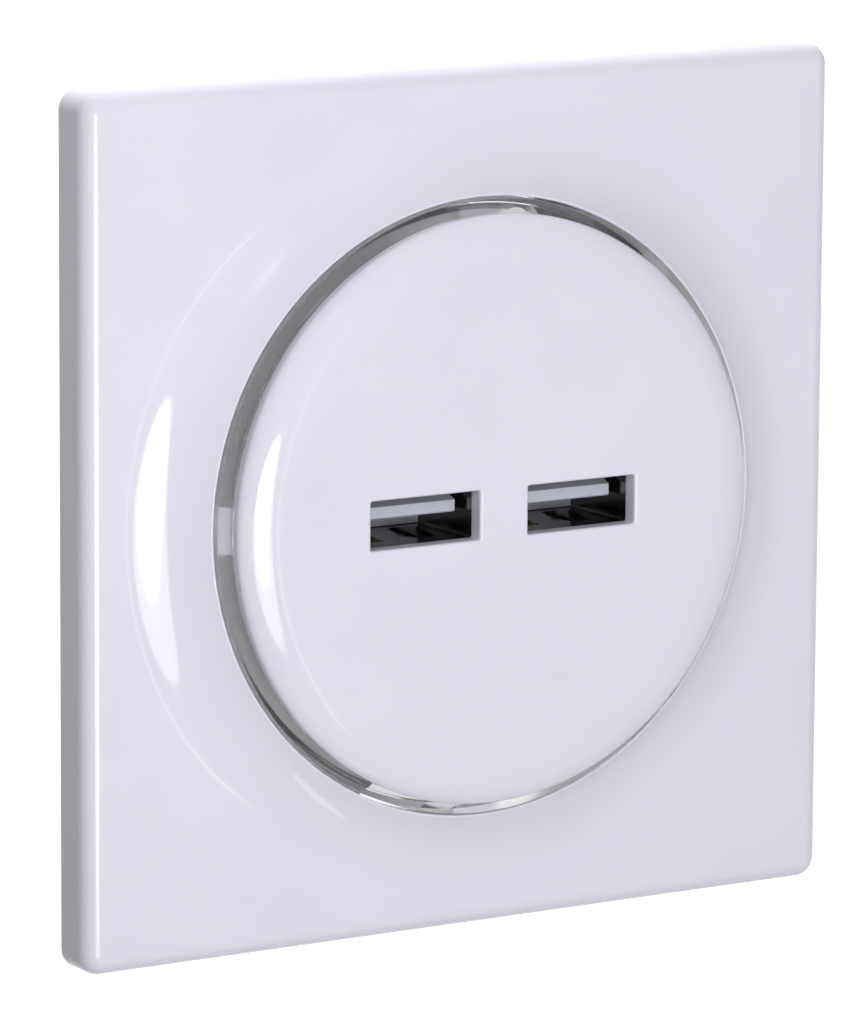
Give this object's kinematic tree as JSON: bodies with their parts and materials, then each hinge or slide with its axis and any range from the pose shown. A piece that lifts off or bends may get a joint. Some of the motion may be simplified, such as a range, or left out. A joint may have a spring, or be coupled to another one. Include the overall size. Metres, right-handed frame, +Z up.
{
  "type": "usb wall socket",
  "caption": "Flush wall socket with USB-A charging ports: square white frame flaring up to a round cover, clear trim ring, steel mounting plate, boxed power supply, clamp terminals.",
  "frame": {"origin": "centre of the unit on the wall plane, the back of the steel mounting plate", "axes": "+Y into the wall, along the port and box-screw axes; +X to the right seen from the room; +Z up; the ports face -Y"},
  "size_m": [0.085, 0.0387, 0.085],
  "materials": {
    "white_shell": "glossy white moulding",
    "clear_trim": "clear polished moulding",
    "plated_steel": "bright tin plating",
    "tongue_plastic": "pale moulding",
    "gold_contact": "gold-flashed spring strip",
    "galvanised_steel": "zinc coated pressed sheet",
    "rivet_metal": "satin",
    "housing_plastic": "fine spark-eroded moulding",
    "screw_steel": "zinc plated",
    "board_green": "solder mask on glass laminate",
    "black_moulding": "black moulding",
    "tinned_pin": "tinned",
    "ferrite": "sintered ferrite",
    "bobbin_plastic": "dark phenolic moulding",
    "winding_tape": "polyester tape over copper wire",
    "capacitor_sleeve": "shrunk sleeve over an aluminium can",
    "resistor_coat": "lacquered",
    "disc_coat": "epoxy dip",
    "terminal_plastic": "light grey flame-retardant moulding",
    "terminal_brass": "bright brass"
  },
  "bodies": {
    "socket": {"cover_frame": "white_shell", "centre_cover": "white_shell", "clear_ring": "clear_trim", "support_ring": "galvanised_steel", "support_rivets": "rivet_metal", "front_housing": "housing_plastic", "rear_housing": "housing_plastic", "housing_screws": "screw_steel", "usb_board": "board_green", "power_board": "board_green", "usb_shell_left": "plated_steel", "usb_shell_right": "plated_steel", "usb_tongue_left": "tongue_plastic", "usb_tongue_right": "tongue_plastic", "usb_contacts_left": "gold_contact", "usb_contacts_right": "gold_contact", "link_header": "black_moulding", "link_pins": "tinned_pin", "transformer_core": "ferrite", "transformer_bobbin": "bobbin_plastic", "transformer_winding": "winding_tape", "input_capacitors": "capacitor_sleeve", "output_capacitors": "capacitor_sleeve", "bridge_rectifier": "black_moulding", "fuse_resistor": "resistor_coat", "filter_choke": "ferrite", "suppression_capacitor": "disc_coat", "control_chip": "black_moulding", "terminal_block": "terminal_plastic", "terminal_plate_live": "terminal_brass", "terminal_plate_neutral": "terminal_brass"},
    "live_screw": {"terminal_screw_live": "screw_steel"},
    "live_cage": {"terminal_cage_live": "terminal_brass"},
    "neutral_screw": {"terminal_screw_neutral": "screw_steel"},
    "neutral_cage": {"terminal_cage_neutral": "terminal_brass"}
  },
  "joints": [
    {"name": "live_screw_turn", "type": "hinge", "parent": "socket", "child": "live_screw", "pos_m": [-0.0063, 0.0238, -0.013], "axis": [0, -1, 0], "range_deg": [0, 1800]},
    {"name": "live_cage_rise", "type": "slide", "parent": "socket", "child": "live_cage", "axis": [0, 1, 0], "range_m": [0, 0.003]},
    {"name": "neutral_screw_turn", "type": "hinge", "parent": "socket", "child": "neutral_screw", "pos_m": [0.0063, 0.0238, -0.013], "axis": [0, -1, 0], "range_deg": [0, 1800]},
    {"name": "neutral_cage_rise", "type": "slide", "parent": "socket", "child": "neutral_cage", "axis": [0, 1, 0], "range_m": [0, 0.003]}
  ],
  "couplings": [
    {"joint": "live_screw_turn", "follows": "live_cage_rise", "rad_per_m": 10472},
    {"joint": "neutral_screw_turn", "follows": "neutral_cage_rise", "rad_per_m": 10472}
  ]
}
